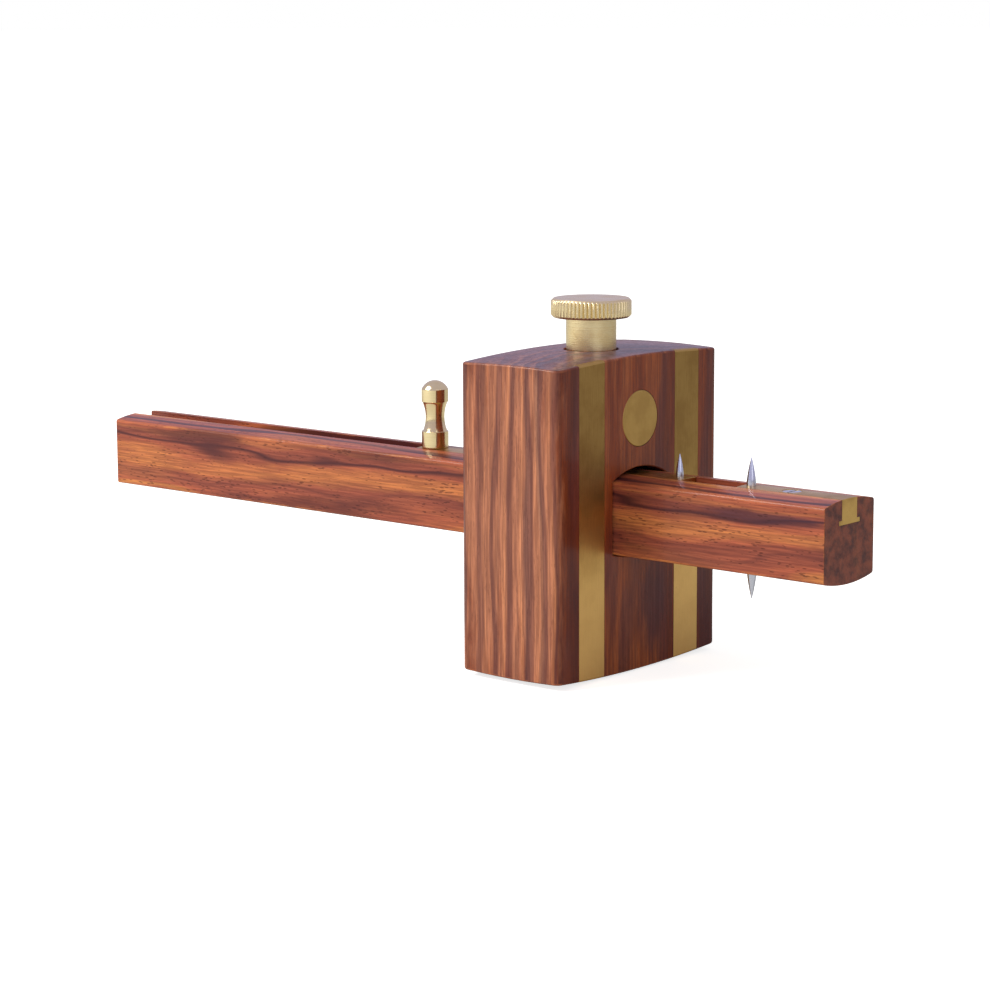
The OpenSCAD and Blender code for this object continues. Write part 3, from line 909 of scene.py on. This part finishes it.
class GAUGE_OT_clamp_shoe(bpy.types.Operator):
    """Make the clamp shoe under the thumbscrew"""
    bl_idname = "gauge.clamp_shoe"
    bl_label = "Clamp shoe"

    def execute(self, context):
        size = sizes()
        low, high = box("clamp_shoe")
        radius = half_of("clamp_shoe")
        hole = size.spigot / 2 + RUNNING_PLAY
        sink = size.rivet / 2 + RUNNING_PLAY
        step = low.z + RIVET_POCKET
        profile = [
            (sink, low.z), (radius - SHOE_RIM, low.z), (radius, low.z + SHOE_RIM),
            (radius, high.z - SHOE_RIM), (radius - SHOE_RIM, high.z), (hole, high.z), (hole, step),
            (sink, step),
        ]
        mesh = turned(profile, under("clamp_shoe"), closed=True)
        finish_piece(mesh, "clamp_shoe", brass("shoe_brass", under("clamp_shoe")))
        return {"FINISHED"}


# The stem and what is let into it

def stem_crown(y):
    """Height of the stem's crowned top at a distance across from its middle."""
    size = sizes()
    low, high = box("stem")
    rise = (high.z - low.z - size.stem_side) / 2
    return high.z - arc_drop(arc_radius(half_of("stem", Y), rise), y)


def groove_path(play):
    """The groove below its lips, from the right one to the left, drawn in by play on every side."""
    size = sizes()
    slot = size.slot / 2 - play
    flange = half_of("end_block", Y) - play
    foot = box("end_block")[0].z
    shelf = foot + size.undercut_height - play
    return [(slot, shelf), (flange, shelf), (flange, foot + play), (-flange, foot + play),
            (-flange, shelf), (-slot, shelf)]


def t_outline(play):
    """The T that fills the groove, with its top on the stem's crown."""
    slot = sizes().slot / 2 - play
    return [(y, stem_crown(y)) for y in spread(-slot, slot, SLOT_POINTS)] + groove_path(play)


def stem_outline():
    """Flat sides between two crowns, with the inverted T of the groove in the top."""
    axis_z = middle("stem").z
    half = half_of("stem", Y)
    slot = sizes().slot / 2
    right = [(y, stem_crown(y)) for y in spread(slot, half, HALF_CROWN_POINTS)]
    below = [(y, 2 * axis_z - stem_crown(y)) for y in spread(half, -half, CROWN_POINTS)]
    left = [(y, stem_crown(y)) for y in spread(-half, -slot, HALF_CROWN_POINTS)]
    return right + below + left + groove_path(0)[::-1]


def runs_along_x(edge):
    """True for a long edge of a bar."""
    start, end = edge.verts
    return abs(start.co.x - end.co.x) > MM


def in_end(edge):
    """True for an edge round one of a bar's two ends."""
    start, end = edge.verts
    return abs(start.co.x - end.co.x) < WELD


def crown_rims(mesh):
    """The edges where a bar's crowned top meets its two ends."""
    crest = box("stem")[1].z
    return [e for e in mesh.edges if in_end(e) and all(v.co.z > crest - CROWN_DEPTH for v in e.verts)]


def t_bar(node, play):
    """A brass bar that fills the groove, with its crowned top broken at both ends."""
    low, high = box(node)
    mesh = bar(t_outline(play), low.x, high.x)
    bevel(mesh, crown_rims(mesh), sizes().bar_break, segments=2)
    return mesh


def outside_groove(edge):
    """True for an edge on the outline of the stem, false for one on the walls of its groove."""
    low, high = box("end_block")
    crest = box("stem")[1].z
    return not any(low.z - MM < v.co.z < crest - MM and abs(v.co.y) < high.y + MM for v in edge.verts)


def runs_at(mesh, y):
    """The long edges at a distance y on either side of a bar's middle."""
    return [e for e in mesh.edges if runs_along_x(e) and abs(abs(e.verts[0].co.y) - y) < WELD]


def stem_streaks():
    """Where the stem's wood changes colour: its golden middle and its dark streaks."""
    tint = colours()
    return [
        ((0, -10, 38), (190, 8, 3.4), tint.stem_gold, 0.6),
        ((-84, -10, 45), (26, 6, 1.9), tint.stem_dark, 0.75),
        ((-45, -10, 31), (34, 7, 2.0), tint.stem_dark, 0.7),
        ((100, -10, 43), (20, 7, 2.0), tint.heart, 0.75),
        ((112, -2, 38), (8, 7, 5.0), tint.heart, 0.5),
        ((-20, -10, 45), (22, 5, 1.3), tint.stem_dark, 0.5),
    ]


class GAUGE_OT_stem(bpy.types.Operator):
    """Make the rosewood stem with its crowned sides and T groove"""
    bl_idname = "gauge.stem"
    bl_label = "Stem"

    def execute(self, context):
        size = sizes()
        tint = colours()
        low, high = box("stem")
        mesh = bar(stem_outline(), low.x, high.x)
        corners = runs_at(mesh, half_of("stem", Y))
        lip_z = stem_crown(size.slot / 2)
        lips = [e for e in runs_at(mesh, size.slot / 2) if abs(e.verts[0].co.z - lip_z) < WELD]
        bevel(mesh, corners, size.stem_arris, segments=4)
        bevel(mesh, lips, size.lip_break, segments=2)
        rims = [e for e in mesh.edges if in_end(e) and outside_groove(e)]
        bevel(mesh, rims, size.stem_end_break)
        pin_hole = seat("marking_pin", half_of("marking_pin"), low.z - PAST, box("marking_pin")[1].z)
        screw_hole = seat("end_block_screw", size.screw_core / 2, box("end_block_screw")[0].z,
                          box("end_block")[0].z + PAST)
        wood = rosewood("stem_rosewood", X, (0, -46, 20), 3.8,
                        (tint.stem_gold, tint.stem_red, tint.stem_dark), stem_streaks(), seed=40,
                        line_share=0.3, pore_share=0.6, end_shade=darker(tint.stem_red, 0.5),
                        end_share=0.92)
        finish_piece(cut(mesh, pin_hole, screw_hole), "stem", wood)
        return {"FINISHED"}


def countersink():
    """The hole for the block screw, with room round its head and a broken mouth."""
    size = sizes()
    foot = box("end_block")[0].z - PAST
    top = box("end_block_screw")[1].z
    core_r = size.screw_core / 2 + SEAT_PLAY
    head_r = size.screw_head / 2 + SINK_PLAY
    cone = (size.screw_head - size.screw_core) / 2
    mouth = top + size.screw_sink - SINK_BREAK
    profile = [
        (0, foot), (core_r, foot), (core_r, top - cone), (head_r, top), (head_r, mouth),
        (head_r + PAST, mouth + PAST), (0, mouth + PAST),
    ]
    return turned(profile, under("end_block_screw"))


def block_screw_mesh():
    """A countersunk screw with a plain shank and a slot across its head."""
    size = sizes()
    low, high = box("end_block_screw")
    head_r = size.screw_head / 2
    core_r = size.screw_core / 2
    profile = [
        (0, low.z), (core_r, low.z), (core_r, high.z - (head_r - core_r)),
        (head_r, high.z - SCREW_RIM), (head_r - SCREW_RIM, high.z), (0, high.z),
    ]
    top = under("end_block_screw") + Vector((0, 0, high.z))
    slot = block(top - Vector((size.screw_slot / 2, 2 * head_r, size.screw_slot)),
                 top + Vector((size.screw_slot / 2, 2 * head_r, PAST)))
    return cut(turned(profile, under("end_block_screw")), slot)


class GAUGE_OT_end_block(bpy.types.Operator):
    """Make the brass end block and the countersunk screw that holds it"""
    bl_idname = "gauge.end_block"
    bl_label = "End block and screw"

    def execute(self, context):
        mesh = t_bar("end_block", sizes().seam)
        crest = box("end_block")[1].z
        pin_hole = seat("fixed_pin", half_of("fixed_pin"), box("fixed_pin")[0].z, crest + PAST)
        metal = brass("block_brass", middle("end_block"), X)
        finish_piece(cut(mesh, countersink(), pin_hole), "end_block", metal)
        metal = steel("screw_steel", under("end_block_screw"), 0.3)
        finish_piece(block_screw_mesh(), "end_block_screw", metal)
        return {"FINISHED"}


def pin_mesh(node, point_down=False):
    """A scribing pin: a seat, a short neck and a point that swells a little over a cone."""
    size = sizes()
    low, high = box(node)
    radius = half_of(node)
    stem_low, stem_high = box("stem")
    way = -1 if point_down else 1
    crest = stem_low.z if point_down else stem_high.z
    tip_z = low.z if point_down else high.z
    seat_z = high.z if point_down else low.z
    neck_z = crest + way * size.pin_neck
    tip_r = size.tip / 2
    profile = [(0, seat_z), (radius, seat_z), (radius, crest)]
    for share in spread(0, 1, POINT_RINGS):
        swell = 4 * size.point_swell * share * (1 - share)
        profile.append((radius + (tip_r - radius) * share + swell, neck_z + (tip_z - neck_z) * share))
    profile.append((0, tip_z))
    return turned(profile, under(node), steps=PIN_STEPS)


class GAUGE_OT_pins(bpy.types.Operator):
    """Make the three steel scribing pins"""
    bl_idname = "gauge.pins"
    bl_label = "Scribing pins"

    def execute(self, context):
        for node in ("fixed_pin", "moving_pin", "marking_pin"):
            metal = steel(node + "_steel", middle(node))
            finish_piece(pin_mesh(node, node == "marking_pin"), node, metal)
        return {"FINISHED"}


class GAUGE_OT_slide(bpy.types.Operator):
    """Make the brass slide that runs in the groove"""
    bl_idname = "gauge.slide"
    bl_label = "Pin slide"

    def execute(self, context):
        size = sizes()
        mesh = t_bar("pin_slide", size.slide_play)
        crest = box("pin_slide")[1].z
        holes = []
        for node, radius in (("moving_pin", half_of("moving_pin")), ("slide_knob", size.stud / 2)):
            holes.append(seat(node, radius, box(node)[0].z, crest + PAST))
        metal = brass("slide_brass", middle("pin_slide"), X, dull=0.7)
        finish_piece(cut(mesh, *holes), "pin_slide", metal)
        return {"FINISHED"}


def knob_profile():
    """Stud, collar, waisted neck and domed head, from the foot up."""
    size = sizes()
    low, high = box("slide_knob")
    radius = half_of("slide_knob")
    stud_r = size.stud / 2
    foot = box("stem")[1].z
    collar = foot + size.knob_collar
    neck = collar + size.knob_neck
    waist_r = size.knob_waist / 2
    waist_z = collar + size.knob_waist_up
    neck_arc = arc_radius(size.knob_waist_up, radius - size.knob_ledge - waist_r)
    dome_arc = arc_radius(radius, size.knob_dome)
    profile = softened([(0, low.z), (stud_r, low.z), (stud_r, foot), (radius, foot), (radius, collar),
                        (radius - size.knob_ledge, collar)], size.knob_break)
    for level in spread(collar, neck, CROWN_POINTS)[1:]:
        profile.append((waist_r + arc_drop(neck_arc, level - waist_z), level))
    dome_foot = high.z - size.knob_dome - size.knob_break * DOME_STEP
    profile += [(radius, neck + size.knob_break), (radius, dome_foot)]
    for i in range(1, DOME_RINGS):
        across = radius * math.cos(i / DOME_RINGS * math.pi / 2)
        profile.append((across, high.z - arc_drop(dome_arc, across)))
    return profile + [(0, high.z)]


class GAUGE_OT_knob(bpy.types.Operator):
    """Make the turned knob that moves the slide"""
    bl_idname = "gauge.knob"
    bl_label = "Slide knob"

    def execute(self, context):
        mesh = turned(knob_profile(), under("slide_knob"), steps=KNOB_STEPS)
        metal = brass("knob_brass", under("slide_knob"), polish=0.13, dull=0.4, line_depth=0.2, fresh=True)
        finish_piece(mesh, "slide_knob", metal)
        return {"FINISHED"}


# The stage

class GAUGE_OT_stage(bpy.types.Operator):
    """Set up the camera, the lamps, the backdrop and the floor"""
    bl_idname = "gauge.stage"
    bl_label = "Studio"

    def execute(self, context):
        make_camera()
        make_lamps()
        make_world()
        make_floor()
        context.scene.view_settings.view_transform = "Standard"
        return {"FINISHED"}


def aim_point():
    """The point on the stem's length that the camera and the lamps look at."""
    set_up = studio()
    return Vector((set_up.aim_x, 0, middle("stem").z - set_up.aim_drop))


def make_camera():
    """A camera on a sphere round its aim, turned a little about its own line of sight."""
    set_up = studio()
    az, el, roll = set_up.azimuth, set_up.elevation, set_up.roll
    back = Vector((math.sin(az) * math.cos(el), -math.cos(az) * math.cos(el), math.sin(el)))
    right = Vector((0, 0, 1)).cross(back).normalized()
    up = back.cross(right)
    right, up = (math.cos(roll) * right + math.sin(roll) * up,
                 math.cos(roll) * up - math.sin(roll) * right)
    data = bpy.data.cameras.new("camera")
    data.sensor_width = FRAME_WIDTH
    data.lens = set_up.focal
    data.clip_start = 10 * MM
    camera = put_in_scene("camera", data)
    turn = Matrix((right, up, back)).transposed().to_4x4()
    camera.matrix_world = Matrix.Translation(aim_point() + back * set_up.distance) @ turn
    bpy.context.scene.camera = camera


def make_lamps():
    """One large soft key at the front left and a weak fill at the front right.

    Each has its power, its size and its place from the aim, in watts and metres."""
    set_up = studio()
    lamps = [
        ("key", set_up.key, 0.9, (-0.75, -1.0, 1.05)),
        ("fill", set_up.fill, 0.8, (1.2, -0.5, 0.5)),
    ]
    for name, power, side, away in lamps:
        data = bpy.data.lights.new(name, "AREA")
        data.energy = power
        data.size = side
        lamp = put_in_scene(name, data)
        spot = aim_point() + Vector(away)
        lamp.location = spot
        lamp.rotation_euler = (spot - aim_point()).to_track_quat("Z", "Y").to_euler()


def make_world():
    """White behind the gauge, a pale haze in polished faces, and soft light from all sides."""
    set_up = studio()
    world = bpy.data.worlds.new("studio")
    bpy.context.scene.world = world
    sky = Finish(world)
    rays = sky.node("ShaderNodeLightPath", {}).outputs
    white = (1, 1, 1)
    soft = sky.node("ShaderNodeBackground", {"Color": white, "Strength": set_up.ambient})
    haze = sky.node("ShaderNodeBackground", {"Color": set_up.haze})
    backdrop = sky.node("ShaderNodeBackground", {"Color": white})
    mirrored = sky.math("MAXIMUM", rays["Is Glossy Ray"], rays["Is Transmission Ray"])
    unseen = sky.node("ShaderNodeMixShader", {0: mirrored, 1: soft.outputs[0], 2: haze.outputs[0]})
    seen = sky.node("ShaderNodeMixShader", {0: rays["Is Camera Ray"], 1: unseen.outputs[0],
                                            2: backdrop.outputs[0]})
    sky.node("ShaderNodeOutputWorld", {"Surface": seen.outputs[0]})


def make_floor():
    """A wide pale floor, lifted towards white for the camera, that keeps the shadow."""
    set_up = studio()
    mesh = bmesh.new()
    bmesh.ops.create_grid(mesh, x_segments=1, y_segments=1, size=FLOOR_REACH)
    bmesh.ops.translate(mesh, vec=(0, 0, Vector(cad_box[0]).z), verts=mesh.verts)
    floor = mesh_object("floor", mesh)
    finish = Finish(bpy.data.materials.new("pale_floor"))
    path = finish.node("ShaderNodeLightPath", {})
    grain = finish.noise(finish.place(), 0.4, 3.0)
    shade = finish.mix(finish.fade(grain, 0.3, 0.7), set_up.floor, darker(set_up.floor, 0.98))
    matt = finish.node("ShaderNodeBsdfDiffuse", {"Color": shade})
    level = finish.math("MULTIPLY", path.outputs["Is Camera Ray"], set_up.floor_glow)
    glow = finish.node("ShaderNodeEmission", {"Strength": level})
    both = finish.node("ShaderNodeAddShader", {0: matt.outputs[0], 1: glow.outputs[0]})
    finish.node("ShaderNodeOutputMaterial", {"Surface": both.outputs[0]})
    floor.data.materials.append(finish.owner)


STEPS = (
    GAUGE_OT_stage, GAUGE_OT_stock, GAUGE_OT_wear_strips, GAUGE_OT_barrel_nut, GAUGE_OT_thumbscrew,
    GAUGE_OT_clamp_shoe, GAUGE_OT_stem, GAUGE_OT_end_block, GAUGE_OT_pins, GAUGE_OT_slide, GAUGE_OT_knob,
)


class GAUGE_PT_panel(bpy.types.Panel):
    """Buttons for each piece, and the values that they use"""
    bl_label = "Mortise Gauge"
    bl_idname = "GAUGE_PT_panel"
    bl_space_type = "VIEW_3D"
    bl_region_type = "UI"
    bl_category = "Gauge"

    def draw(self, context):
        """A button for each step, then every value of the three groups."""
        for step in STEPS:
            self.layout.operator(step.bl_idname)
        for group in (context.scene.gauge_sizes, context.scene.gauge_colours, context.scene.gauge_studio):
            fields = self.layout.column(align=True)
            for name in group.bl_rna.properties.keys():
                if name not in ("rna_type", "name"):
                    fields.prop(group, name)


GROUPS = {"gauge_sizes": GaugeSizes, "gauge_colours": GaugeColours, "gauge_studio": GaugeStudio}


def register():
    """Adds the groups, the operators and the panel to Blender."""
    for group in GROUPS.values():
        bpy.utils.register_class(group)
    for step in STEPS:
        bpy.utils.register_class(step)
    bpy.utils.register_class(GAUGE_PT_panel)
    for name, group in GROUPS.items():
        setattr(bpy.types.Scene, name, PointerProperty(type=group))


def unregister():
    """Takes them out again."""
    for name in GROUPS:
        delattr(bpy.types.Scene, name)
    bpy.utils.unregister_class(GAUGE_PT_panel)
    for step in reversed(STEPS):
        bpy.utils.unregister_class(step)
    for group in reversed(GROUPS.values()):
        bpy.utils.unregister_class(group)


def main():
    """Makes every piece and the stage."""
    register()
    for step in STEPS:
        getattr(bpy.ops.gauge, step.bl_idname.split(".")[1])()


if __name__ == "__main__":
    main()
